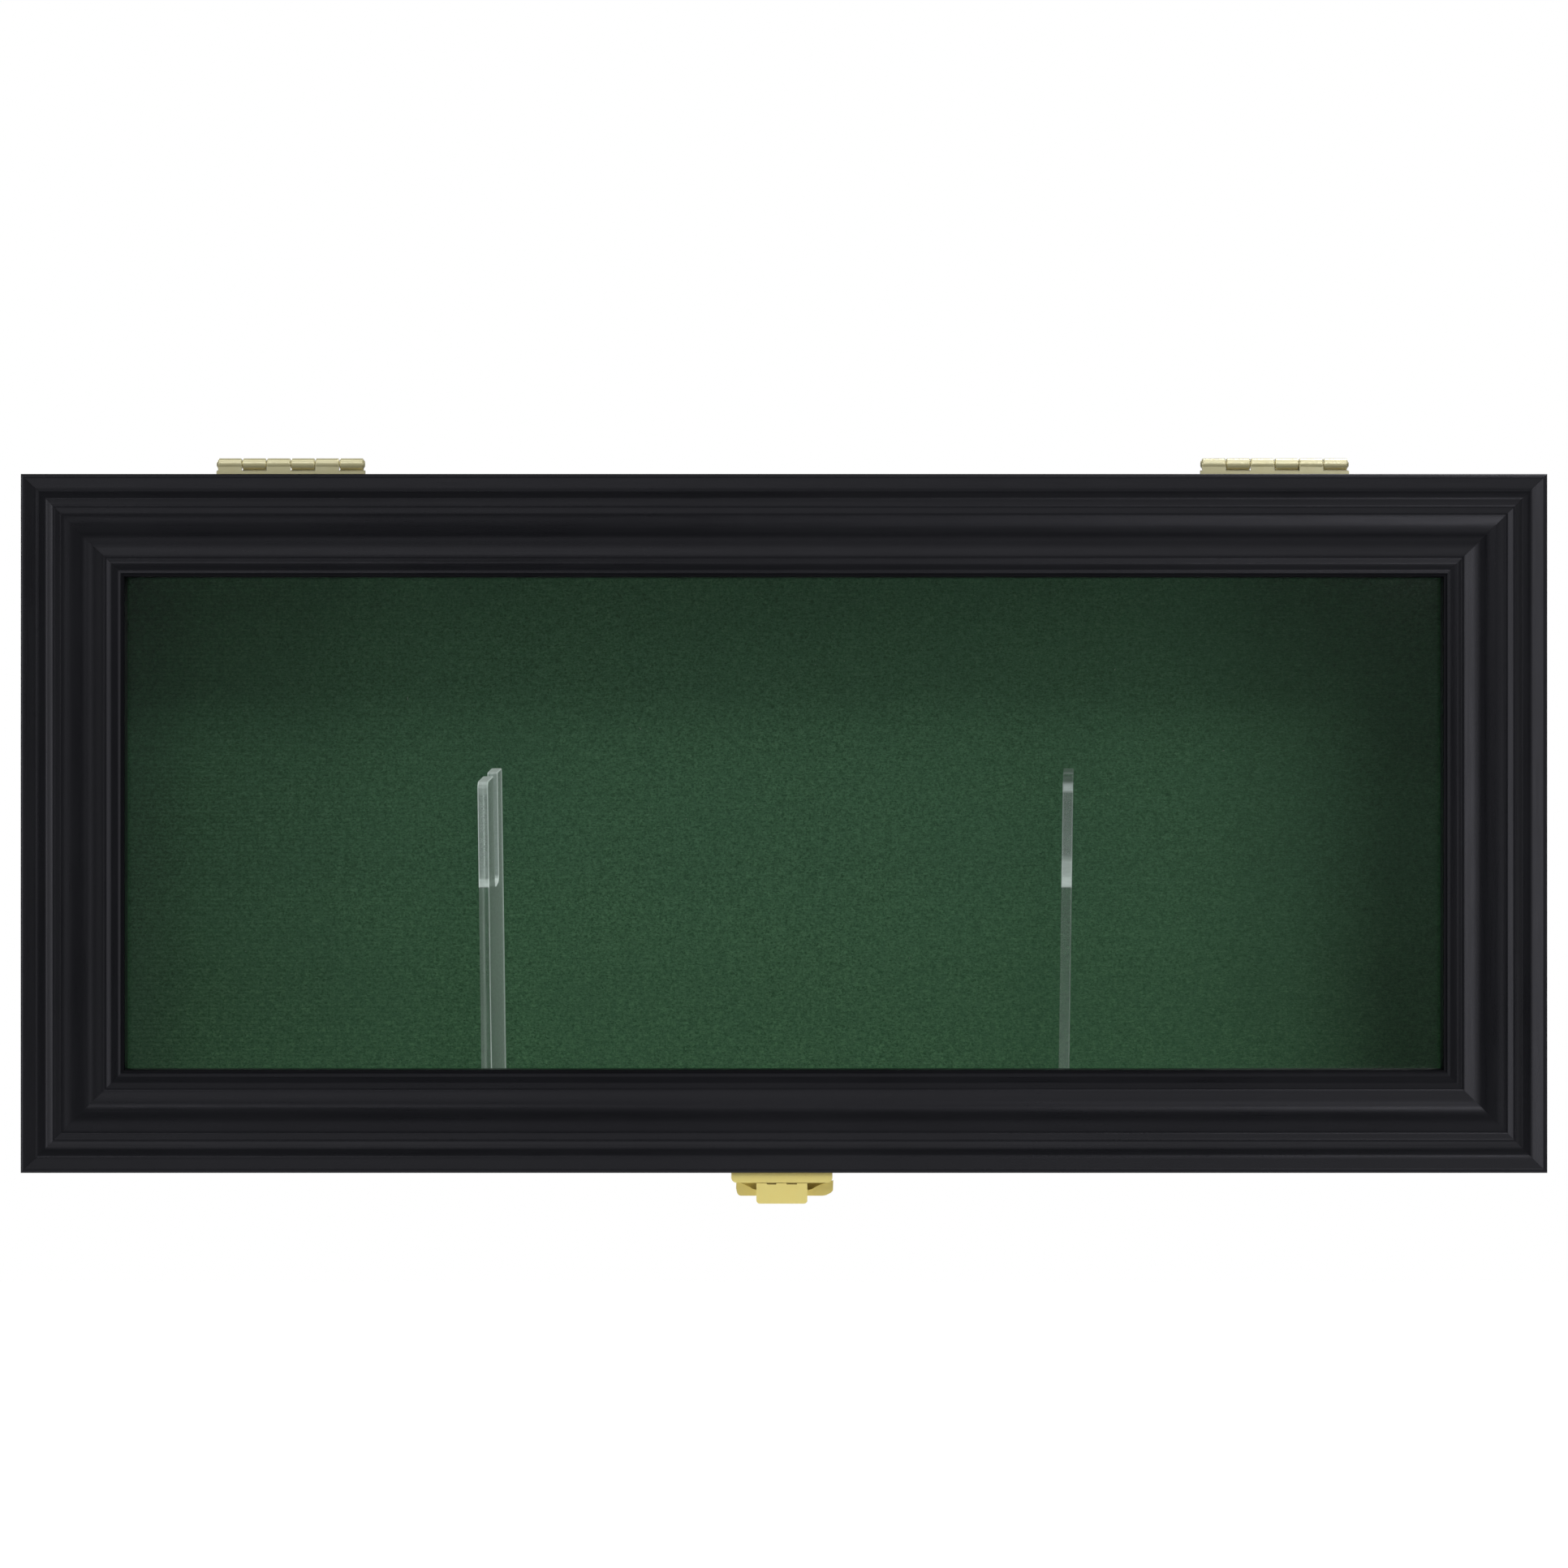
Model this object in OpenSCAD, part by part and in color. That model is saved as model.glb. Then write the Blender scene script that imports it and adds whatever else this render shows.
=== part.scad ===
// Wall display case for one pocket knife.
// A shallow felt-lined box of four mitred boards hangs on two keyhole plates.
// Its door is a mitred moulding with a clear pane, hinged along the top edge
// and held shut by a small pivoting latch under the bottom edge.
// Two clear notched stands rise from the floor of the case and cradle the knife.
// X runs to the right, Y towards the wall and Z up. The wall is the plane Y = 0,
// and the origin is midway between the entry holes of the two keyhole plates.

/* [Case] */
// Outside width of the case and of its door
case_w = 356; // [330:1:440]
// Outside height of the case and of its door
case_h = 163; // [158:1:200]
// Depth of the case boards, behind the door
case_d = 72; // [68:1:100]
// Thickness of the case boards
board_t = 12; // [11.5:0.5:14]
// Thickness of the back board
back_t = 9; // [8.5:0.5:11]
// Thickness of the felt lining
felt_t = 1; // [0.8:0.1:1.6]
// Thickness of the board that carries the back felt
pad_t = 2.5; // [2:0.5:4]

/* [Door] */
// Thickness of the door moulding, front to back
door_t = 18; // [17:0.5:22]
// Width of the moulding, outside edge to sight edge
mould_w = 24; // [22:0.5:27]
// Thickness of the clear pane
pane_t = 2; // [1.5:0.5:3]
// Gap between the closed door and the case
door_gap = 0.5; // [0.4:0.1:0.8]

/* [Stands] */
// Thickness of each clear stand
stand_t = 2.5; // [2:0.5:4]
// Depth of each stand, front to back
stand_d = 38; // [34:1:42]
// Height of a stand's front prong above the felt floor
stand_h = 78.3; // [60:0.1:82]
// Rise of the stand's top edge from front to back
stand_rise = 3.3; // [0:0.1:6]
// Width of the notch that takes the knife
notch_w = 11; // [8:0.5:13]
// Depth of the notch below the front prong's top
notch_h = 25.6; // [14:0.1:30]
// Rise of the notch's floor from front to back
notch_rise = 1.7; // [0:0.1:3]
// Distance between the feet of the two stands
stand_gap = 137.3; // [100:0.1:180]
// Sideways shift of the pair of stands
stand_shift = -1.2; // [-8:0.1:8]
// Turn of the stands about the vertical, degrees
stand_yaw = 2.7; // [0:0.1:4]
// Outward lean of each stand, degrees
stand_lean = 0.8; // [0:0.1:2]

/* [Hinges] */
// Distance of each hinge's middle from the case's middle
hinge_x = 116; // [90:1:130]
// Sideways shift of the pair of hinges
hinge_shift = -0.3; // [-5:0.1:5]
// Length of the hinge barrel
hinge_l = 34.4; // [30:0.2:40]
// Outside radius of the hinge barrel
barrel_r = 1.35; // [1.25:0.05:1.8]
// Height of the hinge axis above the top of the case
axis_up = 3.15; // [3.1:0.05:4.5]
// Thickness of a hinge leaf
leaf_t = 0.9; // [0.7:0.1:1]

/* [Latch] */
// Sideways place of the latch
latch_x = -0.5; // [-20:0.5:20]
// Half the width of the latch's door plate
latch_w = 11.8; // [11:0.2:13]
// Half the width of the finger tab
tab_w = 5.95; // [5:0.05:7]
// How far the finger tab reaches below the case
tab_drop = 7.25; // [6.5:0.05:9]

/* [Wall hangers] */
// Distance between the two keyhole plates
hang_gap = 220; // [150:1:260]
// Distance from the top of the case down to the keyholes' entry holes
hang_drop = 30; // [29:1:50]
// Radius of a keyhole's entry hole
key_r = 4.3; // [4:0.1:5]

/* [Hidden] */
$fn = 48;

black = [0.035, 0.035, 0.04];
brass = [0.80, 0.70, 0.40];
felt_green = [0.12, 0.26, 0.16];
clear = [0.80, 0.88, 0.86, 0.35];
steel = [0.62, 0.62, 0.64];
mdf = [0.45, 0.33, 0.22];

e = 0.01;
w2 = case_w / 2;
seam = -case_d - door_gap / 2;        // the plane midway between the case and the closed door
door_back = -case_d - door_gap;
door_front = door_back - door_t;
case_lift = hang_drop - case_h;       // Z of the underside of the case
rabbet = 6;                           // width of the rabbet for the back board
k = mould_w / 24;
stop_in = 18.4 * k;                   // the pane rabbet's outer wall, from the moulding's outside edge
lip_back = 10;                        // the pane's front face, behind the moulding's front
pane_y = door_front + lip_back;
inner_w = w2 - board_t;               // half the width inside the boards
floor_z = board_t + felt_t;
pin_r = 0.65;
bore_r = 0.7;

// An arc of an ellipse from angle a to b, for the moulding's profile: [distance inward, depth back]
function arc(cx, cy, rx, ry, a, b, n) =
  [for (i = [0:n]) let (t = a + (b - a) * i / n) [cx + rx * cos(t), cy - ry * sin(t)]];

// The moulding's front as tilts: [distance in from the outside edge, degrees by which the face there looks inward].
// After a rolled outside edge come a band that falls inward, a bead, a low crest, a dome, a small step and the sight edge
tilts = [
  [0.8, 0], [0.95, 24], [1.15, 33], [2.9, 35], [3.3, 31], [3.7, 21], [4.1, 9], [4.5, 2], [5.4, 0],
  [5.65, -10], [5.95, -28], [6.3, -35], [6.8, -32], [7.2, -27], [7.45, -14], [7.65, 2], [7.8, 18],
  [8.0, 30], [8.6, 35], [9.0, 31], [9.25, 14], [9.5, -3], [9.9, -9], [10.4, -12], [11.1, -11], [11.9, -6], [12.6, -2],
  [13.4, 0], [14.0, 2], [14.6, 9], [15.3, 17], [16.0, 23], [16.7, 30], [17.4, 35], [18.1, 37], [18.6, 36], [19.0, 27],
  [19.3, 11], [19.55, -6], [19.8, -19], [20.2, -23], [20.6, -15],
  [20.95, -4], [21.4, 2], [22.1, 3], [22.4, -8], [22.7, -22], [22.95, -14], [23.1, 0]
];
function fall(i) = i == 0 ? 0 : fall(i - 1) + (tilts[i][0] - tilts[i - 1][0]) * tan((tilts[i][1] + tilts[i - 1][1]) / 2);
function between(i) =
  let (a = tilts[i], b = tilts[i + 1], n = max(1, ceil(abs(b[1] - a[1]) / 9)))
  [for (j = [0:n - 1]) let (u = j / n) [a[0] + (b[0] - a[0]) * u, fall(i) + (b[0] - a[0]) * u * tan(a[1] + (b[1] - a[1]) * u / 2)]];
sight = fall(len(tilts) - 1);
function front_curve() = concat(
  arc(0.8, 0.8, 0.8, 0.8, 180, 105, 5),
  [for (i = [0:len(tilts) - 2]) each between(i)],
  arc(23.1, sight + 0.9, 0.9, 0.9, 90, 0, 6)
);

module moulding_profile() {
  polygon([for (p = concat(
    [for (q = front_curve()) [q[0] * k, q[1]]],
    [[mould_w, lip_back], [stop_in, lip_back], [stop_in, door_t], [0, door_t]]
  )) [p[1], -p[0]]]);
}

// A bar along X with 45 degree ends, its outside edge on Z = 0 and its front on Y = 0
module mitred_bar(len, deep = 30) {
  intersection() {
    rotate([90, 0, 90]) linear_extrude(height = len, center = true) children();
    translate([0, deep, 0]) rotate([90, 0, 0]) linear_extrude(height = deep + 5)
      polygon([[-len / 2, 0.001], [len / 2, 0.001], [len / 2 - 40, -40], [-len / 2 + 40, -40]]);
  }
}

module on_top() translate([0, 0, case_h]) children();
module on_bottom() mirror([0, 0, 1]) children();
module on_left() translate([-w2, 0, case_h / 2]) rotate([0, -90, 0]) children();
module on_right() translate([w2, 0, case_h / 2]) rotate([0, 90, 0]) children();

module along_x(r, x0, x1) translate([x0, 0, 0]) rotate([0, 90, 0]) cylinder(r = r, h = x1 - x0);
module towards_front(r, len) rotate([90, 0, 0]) cylinder(r = r, h = len);
module block(lo, hi) translate(lo) cube([hi[0] - lo[0], hi[1] - lo[1], hi[2] - lo[2]]);

// A countersunk screw along -Z, the top of its head on Z = 0, with a cross recess
module screw(shank, head, len) {
  difference() {
    union() {
      cylinder_down(head, head, 0.15);
      translate([0, 0, -0.15]) cylinder_down(head, shank, head - shank);
      cylinder_down(shank, shank, len);
    }
    for (a = [0, 90]) rotate([0, 0, a])
      block([-head * 0.6, -head * 0.11, -head * 0.45], [head * 0.6, head * 0.11, 1]);
  }
}
module cylinder_down(r_top, r_low, h) translate([0, 0, -h]) cylinder(r1 = r_low, r2 = r_top, h = h);
// The hole that the screw fills
module screw_hole(shank, head, len) {
  cylinder_down(head, head, 0.15);
  translate([0, 0, -0.15]) cylinder_down(head, shank, head - shank);
  cylinder_down(shank, shank, len);
}

// ---- the door ----

leaf_h = 9.4;                          // how far a leaf reaches below the top of the case
leaf_hw = hinge_l / 2 + 0.3;
leaf_screws = [[-12.4, -4.2], [0, -6.4], [12.4, -4.2]];
axis_z = case_h + axis_up;

module at_leaf_screws(side) {          // side 1: into the case, -1: into the door
  for (h = [-1, 1]) for (s = leaf_screws)
    translate([hinge_shift + h * hinge_x + s[0], seam + side * door_gap / 2, case_h + s[1]])
      rotate([side > 0 ? 90 : -90, 0, 0]) children();
}

module hinge_mortises(side) {
  for (h = [-1, 1]) translate([hinge_shift + h * hinge_x, 0, case_h])
    if (side > 0) block([-leaf_hw - 0.05, -case_d - 1, -leaf_h - 0.05], [leaf_hw + 0.05, -case_d + leaf_t, 1]);
    else block([-leaf_hw - 0.05, door_back - leaf_t, -leaf_h - 0.05], [leaf_hw + 0.05, door_back + 1, 1]);
}

// A bent steel wedge across a mitre, opening towards the frame's outside
module v_nail_shape() polygon([[0, 0], [4.2, 2.1], [4.0, 2.65], [0, 0.65], [-4.0, 2.65], [-4.2, 2.1]]);
v_len = 8;
module v_nails() {
  for (sx = [-1, 1]) for (sz = [-1, 1]) for (d = [6.0, 12.5])
    translate([sx * (w2 - d), door_back, case_h / 2 + sz * (case_h / 2 - d)])
      rotate([90, 0, 0]) linear_extrude(height = v_len)
        rotate(sx * sz > 0 ? (sz > 0 ? -45 : 135) : (sz > 0 ? 45 : -135)) v_nail_shape();
}

module rail() translate([0, door_front, 0]) mitred_bar(case_w) moulding_profile();
module stile() translate([0, door_front, 0]) mitred_bar(case_h) moulding_profile();

brad_x = [-130, -45, 45, 130];
module stop_brads() {
  for (x = brad_x) {
    translate([x, -case_d - 3.2, case_h - 12]) mirror([0, 0, 1]) cylinder(r = 0.55, h = 11.4 * k);
    translate([x, -case_d - 3.2, 12]) cylinder(r = 0.55, h = 11.4 * k);
  }
  for (z = [-30, 30]) translate([0, -case_d - 3.2, case_h / 2 + z]) {
    translate([w2 - 12, 0, 0]) rotate([0, -90, 0]) cylinder(r = 0.55, h = 11.4 * k);
    translate([-w2 + 12, 0, 0]) rotate([0, 90, 0]) cylinder(r = 0.55, h = 11.4 * k);
  }
}

module door_top_rail() color(black) difference() {
  on_top() rail();
  hinge_mortises(-1);
  at_leaf_screws(-1) screw_hole(0.9, 1.7, 8);
  v_nails();
  stop_brads();
}
module door_bottom_rail() color(black) difference() {
  on_bottom() rail();
  at_strike_screws() screw_hole(0.9, 1.7, 7);
  v_nails();
  stop_brads();
}
module door_left_stile() color(black) difference() { on_left() stile(); v_nails(); stop_brads(); }
module door_right_stile() color(black) difference() { on_right() stile(); v_nails(); stop_brads(); }

module door_pane() color(clear)
  block([-w2 + stop_in + 0.4, pane_y, stop_in + 0.4], [w2 - stop_in - 0.4, pane_y + pane_t, case_h - stop_in - 0.4]);

// The strip that holds the pane in its rabbet, with a rounded back edge
module stop_profile() {
  y0 = pane_y + pane_t;
  y1 = door_back - 0.3;
  d0 = stop_in + 0.1;
  d1 = mould_w - 0.6;
  r = 2;
  polygon(concat([[y0, -d0], [y0, -d1]],
    [for (i = [0:6]) let (t = i * 15) [y1 - r + r * sin(t), -d1 + r - r * cos(t)]],
    [[y1, -d0]]));
}
module stop_bar(len) intersection() {
  rotate([90, 0, 90]) linear_extrude(height = len, center = true) stop_profile();
  translate([0, 0, 0]) rotate([90, 0, 0]) linear_extrude(height = 200)
    polygon([[-len / 2, 0], [len / 2, 0], [len / 2 - 40, -40], [-len / 2 + 40, -40]]);
}
module pane_stop_top() color(black) difference() { on_top() stop_bar(case_w); stop_brads(); }
module pane_stop_bottom() color(black) difference() { on_bottom() stop_bar(case_w); stop_brads(); }
module pane_stop_left() color(black) difference() { on_left() stop_bar(case_h); stop_brads(); }
module pane_stop_right() color(black) difference() { on_right() stop_bar(case_h); stop_brads(); }
module pane_stop_brads() color(steel) stop_brads();
module door_v_nails() color(steel) v_nails();

// ---- the hinges ----

knuckle = hinge_l / 6;
// Leaf of a hinge on its own axis: side -1 is on the door with knuckles 1, 3 and 5 from the left, side 1 on the case
module hinge_leaf(side) {
  first = side < 0 ? 0 : 1;
  y_near = door_gap / 2;
  low = -axis_up - leaf_h;
  difference() {
    union() {
      mirror([0, side < 0 ? 1 : 0, 0]) {
        // the leaf, with rounded lower corners
        block([-leaf_hw, y_near, low + 1.5], [leaf_hw, y_near + leaf_t, -barrel_r - (side < 0 ? 0.35 : 0.12)]);
        block([-leaf_hw + 1.5, y_near, low], [leaf_hw - 1.5, y_near + leaf_t, low + 2]);
        for (s = [-1, 1]) translate([s * (leaf_hw - 1.5), y_near, low + 1.5])
          rotate([-90, 0, 0]) cylinder(r = 1.5, h = leaf_t);
        for (i = [first:2:5])
          block([-hinge_l / 2 + i * knuckle + 0.08, y_near, -barrel_r - 0.5],
                [-hinge_l / 2 + (i + 1) * knuckle - 0.08, y_near + leaf_t, 0]);
      }
      for (i = [first:2:5])
        rounded_tube(barrel_r, 0.22, -hinge_l / 2 + i * knuckle + 0.08, -hinge_l / 2 + (i + 1) * knuckle - 0.08);
    }
    along_x(side > 0 ? pin_r : bore_r, -hinge_l, hinge_l);   // the case's knuckles hold the pin, the door's turn on it
    for (s = leaf_screws) translate([s[0], side * door_gap / 2, s[1] - axis_up])
      rotate([side > 0 ? 90 : -90, 0, 0]) screw_hole(0.9, 1.7, 8);
  }
}
// A tube along X with its end edges eased
module rounded_tube(r, c, x0, x1) {
  along_x(r, x0 + c, x1 - c);
  translate([x0, 0, 0]) rotate([0, 90, 0]) cylinder(r1 = r - c, r2 = r, h = c);
  translate([x1 - c, 0, 0]) rotate([0, 90, 0]) cylinder(r1 = r, r2 = r - c, h = c);
}
module at_hinge(h) translate([hinge_shift + h * hinge_x, seam, axis_z]) children();
module hinge_pin() {
  along_x(pin_r, -hinge_l / 2 - 0.1, hinge_l / 2 + 0.1);
  for (s = [0, 1]) mirror([s, 0, 0])
    translate([hinge_l / 2 + 0.02, 0, 0]) rotate([0, 90, 0]) cylinder(r1 = 1.0, r2 = 0.6, h = 0.25);
}
module hinge_left_door_leaf() color(brass) at_hinge(-1) hinge_leaf(-1);
module hinge_right_door_leaf() color(brass) at_hinge(1) hinge_leaf(-1);
module hinge_left_case_leaf() color(brass) at_hinge(-1) hinge_leaf(1);
module hinge_right_case_leaf() color(brass) at_hinge(1) hinge_leaf(1);
module hinge_left_pin() color(brass) at_hinge(-1) hinge_pin();
module hinge_right_pin() color(brass) at_hinge(1) hinge_pin();
module hinge_door_screws() color(brass) at_leaf_screws(-1) screw(0.9, 1.7, 8);
module hinge_case_screws() color(brass) at_leaf_screws(1) screw(0.9, 1.7, 8);

// ---- the latch: a strike plate on the door, and a lever on the case ----

latch_t = 0.9;
strike_front = -16.3;
strike_low = -2.36;
lever_top = -2.47;
latch_pivot = [8.5, -2.3];
lever_r = 1.25;

module at_latch() translate([latch_x, seam, 0]) children();
module at_strike_screws() at_latch() for (s = [-1, 1]) translate([s * 7.6, -8.6, -latch_t]) mirror([0, 0, 1]) children();
module at_base_screws() at_latch() for (s = [-1, 1]) translate([s * 7.6, 13.2, -latch_t]) mirror([0, 0, 1]) children();

// An upright plate facing front, hanging from Z = 0, with rounded lower corners
module hung_plate(hw, y0, y1, low, r) {
  block([-hw, y0, low + r], [hw, y1, 0]);
  block([-hw + r, y0, low], [hw - r, y1, low + r + e]);
  for (s = [-1, 1]) translate([s * (hw - r), y1, low + r]) rotate([90, 0, 0]) cylinder(r = r, h = y1 - y0);
}
module latch_strike_plate() color(brass) at_latch() difference() {
  union() {
    block([-latch_w, strike_front, -latch_t], [latch_w, -3, 0]);
    hung_plate(latch_w, strike_front, strike_front + latch_t, strike_low, 1.2);
    for (s = [-1, 1]) block([s > 0 ? latch_w - latch_t : -latch_w, strike_front, -1.4],
                            [s > 0 ? latch_w : -latch_w + latch_t, -3, 0]);
    // the lip that the lever's nib sits in front of
    block([-5, -3.9, -1.6], [5, -3, -latch_t + e]);
  }
  for (s = [-1, 1]) translate([s * 7.6, -8.6, -latch_t]) mirror([0, 0, 1]) screw_hole(0.9, 1.7, 7);
}
module latch_strike_screws() color(brass) at_strike_screws() screw(0.9, 1.7, 7);

module latch_base() color(brass) at_latch() difference() {
  union() {
    block([-11.4, 2.2, -latch_t], [11.4, 16, 0]);
    for (s = [-1, 1]) mirror([s > 0 ? 0 : 1, 0, 0]) {
      block([6.1, latch_pivot[0] - lever_r, latch_pivot[1]], [8.7, latch_pivot[0] + lever_r, -latch_t + e]);
      translate([0, latch_pivot[0], latch_pivot[1]]) along_x(lever_r, 6.1, 8.7);
    }
  }
  translate([0, latch_pivot[0], latch_pivot[1]]) along_x(pin_r, -20, 20);
  for (s = [-1, 1]) translate([s * 7.6, 13.2, -latch_t]) mirror([0, 0, 1]) screw_hole(0.9, 1.7, 9);
}
module latch_base_screws() color(brass) at_base_screws() screw(0.9, 1.7, 9);
module latch_pin() color(brass) at_latch() translate([0, latch_pivot[0], latch_pivot[1]]) {
  along_x(pin_r, -8.9, 8.9);
  for (s = [0, 1]) mirror([s, 0, 0]) along_x(1.0, 8.7, 9.1);
}
// The lever: a flat tongue with a finger tab at its front end, two finger wings across it, and a knuckle at its back
module latch_lever() color(brass) at_latch() difference() {
  union() {
    block([-tab_w, strike_front + 0.1, lever_top - latch_t], [tab_w, latch_pivot[0], lever_top]);
    translate([0, 0, lever_top]) hung_plate(tab_w, strike_front + 0.1, strike_front + 1, -tab_drop - lever_top, 0.8);
    // the finger wings: a folded plate with a hollowed upper edge, and its rear wall
    translate([0, -6.6, 0]) rotate([90, 0, 0]) linear_extrude(height = 1)
      polygon([[-tab_w, -2.9], [-tab_w - 0.05, -4.55], [-6.8, -4.35], [-7.8, -3.75], [-9.0, -3.2], [-10.7, -2.6],
               [-10.75, -4.2], [-10.5, -5.3], [-10.2, -5.75], [-9.7, -5.95], [9.6, -5.95], [10.4, -5.8], [11.5, -5.25],
               [12.0, -4.7], [12.05, -2.35], [11.4, -2.55], [9.8, -3.05], [8.2, -3.7], [7.0, -4.4], [tab_w + 0.05, -4.6], [tab_w, -2.9]]);
    block([-9.9, -6.7, -5.95], [9.7, -2.4, -5.2]);
    block([-9.9, -3.2, -5.9], [9.7, -2.4, -3.0]);
    block([9, -6.7, -5.0], [11.3, -2.4, -4.2]);
    block([9, -3.2, -5.0], [11.3, -2.4, -2.7]);
    translate([0, latch_pivot[0], latch_pivot[1]]) along_x(lever_r, -5.9, 5.9);
    // the nib
    translate([0, -4.9, lever_top - 0.1]) along_x(0.85, -4.5, 4.5);
  }
  translate([0, latch_pivot[0], latch_pivot[1]]) along_x(bore_r, -20, 20);
  // two slots where the tab bends down
  for (s = [[-3.5, -1.3], [1.1, 3.5]])
    block([s[0], strike_front - 1, lever_top - 0.3], [s[1], strike_front + 1.3, lever_top + 1]);
}

// ---- the case ----

module case_hollows() {
  // the rabbet for the back board
  block([-w2 + rabbet, -back_t, rabbet], [w2 - rabbet, 1, case_h - rabbet]);
  hinge_mortises(1);
  at_leaf_screws(1) screw_hole(0.9, 1.7, 8);
  at_back_screws() screw_hole(1.2, 2.5, 22);
  at_base_screws() screw_hole(0.9, 1.7, 9);
  corner_brads();
}
module case_board(points) color(black) difference() {
  rotate([90, 0, 0]) linear_extrude(height = case_d) polygon(points);
  case_hollows();
}
module case_top_board() case_board([[-w2, case_h], [w2, case_h], [inner_w, case_h - board_t], [-inner_w, case_h - board_t]]);
module case_bottom_board() difference() {
  case_board([[-w2, 0], [w2, 0], [inner_w, board_t], [-inner_w, board_t]]);
  stand_slots(0.05);
}
module case_left_board() case_board([[-w2, 0], [-inner_w, board_t], [-inner_w, case_h - board_t], [-w2, case_h]]);
module case_right_board() case_board([[w2, 0], [inner_w, board_t], [inner_w, case_h - board_t], [w2, case_h]]);

module corner_brads() {
  for (sx = [-1, 1]) for (z = [4.5, case_h - 4.5]) for (y = [-20, -52])
    translate([sx * w2, y, z]) rotate([0, -sx * 90, 0]) cylinder(r = 0.6, h = 26);
}
module case_corner_brads() color(steel) corner_brads();

module at_back_screws() {
  for (x = [-150, 0, 150]) for (z = [9, case_h - 9]) translate([x, 0, z]) rotate([-90, 0, 0]) children();
  for (s = [-1, 1]) translate([s * (w2 - 9), 0, case_h / 2]) rotate([-90, 0, 0]) children();
}
module back_board_screws() color(steel) at_back_screws() screw(1.2, 2.5, 22);

module at_keyholes() for (s = [-1, 1]) translate([s * hang_gap / 2, 0, case_h - hang_drop]) children();
module keyhole_outline(r, y0, grow = 0) {     // a plate with round ends, from Y = y0 to Y = 0
  block([-r - grow, y0, -6], [r + grow, 0, 10.5]);
  for (z = [-6, 10.5]) translate([0, 0, z]) towards_front(r + grow, -y0);
}
key_screws = [-9.6, 14.2];
module back_board() color(mdf) difference() {
  block([-w2 + rabbet + 0.25, -back_t, rabbet + 0.25], [w2 - rabbet - 0.25, 0, case_h - rabbet - 0.25]);
  at_back_screws() screw_hole(1.2, 2.5, 22);
  at_keyholes() {
    translate([0, 1, 0]) keyhole_outline(8, -2.2, 0.1);
    // room for the wall screw's head behind the plate
    block([-5.2, -6.4, 0], [5.2, 0, 8]);
    for (z = [0, 8]) translate([0, 0, z]) towards_front(5.2, 6.4);
    for (z = key_screws) translate([0, 0, z]) rotate([-90, 0, 0]) screw_hole(1.1, 2.2, 7);
  }
}
module keyhole_plate() difference() {
  keyhole_outline(8, -1.2);
  translate([0, 1, 0]) towards_front(key_r, 4);
  translate([0, 1, 8]) towards_front(2.2, 4);
  block([-2.2, -3, 0], [2.2, 1, 8]);
  for (z = key_screws) translate([0, 0, z]) rotate([-90, 0, 0]) screw_hole(1.1, 2.2, 7);
}
module keyhole_plate_left() color(steel) translate([-hang_gap / 2, 0, case_h - hang_drop]) keyhole_plate();
module keyhole_plate_right() color(steel) translate([hang_gap / 2, 0, case_h - hang_drop]) keyhole_plate();
module keyhole_screws() color(steel) at_keyholes() for (z = key_screws) translate([0, 0, z]) rotate([-90, 0, 0]) screw(1.1, 2.2, 7);

// ---- the lining ----

pad_front = -back_t - pad_t;
felt_front = pad_front - felt_t - 0.2;
module backing_pad() color(mdf)
  block([-inner_w + 0.4, pad_front, board_t + 0.4], [inner_w - 0.4, -back_t, case_h - board_t - 0.4]);
module felt_back() color(felt_green)
  block([-inner_w + 0.4, felt_front, board_t + 0.4], [inner_w - 0.4, pad_front, case_h - board_t - 0.4]);
felt_edge = -case_d + 0.4;
module felt_top() color(felt_green)
  block([-inner_w, felt_edge, case_h - board_t - felt_t], [inner_w, felt_front, case_h - board_t]);
module felt_bottom() color(felt_green) difference() {
  block([-inner_w, felt_edge, board_t], [inner_w, felt_front, floor_z]);
  stand_slots(0.05);
}
module felt_left() color(felt_green)
  block([-inner_w, felt_edge, floor_z], [-inner_w + felt_t, felt_front, case_h - floor_z]);
module felt_right() color(felt_green)
  block([inner_w - felt_t, felt_edge, floor_z], [inner_w, felt_front, case_h - floor_z]);

// ---- the stands ----

stand_mid = (door_back + 6 + felt_front) / 2 + 1.4;
tenon = 5;                               // how far a stand is let into the floor board
function corner_pts(cx, cz, r, a0, a1, n) = [for (i = [0:n]) let (t = a0 + (a1 - a0) * i / n) [cx + r * cos(t), cz + r * sin(t)]];
// Outline seen from the side: front is negative
function stand_outline() =
  let (hd = stand_d / 2, slope = stand_rise / stand_d, fall = notch_rise / notch_w, tilt = atan(fall),
       n0 = -4, n1 = -4 + notch_w, nb = stand_h - notch_h, r = 2.2,
       z_at = function (y) stand_h + (y + hd) * slope, floor_at = function (y) nb + (y - n0) * fall)
  concat(
    [[-hd, -tenon - felt_t]],
    corner_pts(-hd + 2.2, z_at(-hd) - 2.1, 2.2, 180, 96, 7),
    corner_pts(n0 - 0.8, z_at(n0) - 0.85, 0.8, 90, 0, 4),
    corner_pts(n0 + r, floor_at(n0 + r) + r / cos(tilt), r, 180, 270 + tilt, 8),
    corner_pts(n1 - r, floor_at(n1 - r) + r / cos(tilt), r, 270 + tilt, 360, 8),
    corner_pts(n1 + 0.8, z_at(n1) - 0.75, 0.8, 180, 90, 4),
    corner_pts(hd - 1.2, z_at(hd) - 1.25, 1.2, 90, 0, 5),
    [[hd, -tenon - felt_t]]
  );
module at_stand(s) translate([stand_shift + s * stand_gap / 2, stand_mid, floor_z])
  rotate([0, 0, -stand_yaw]) rotate([0, s * stand_lean, 0]) children();
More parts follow.
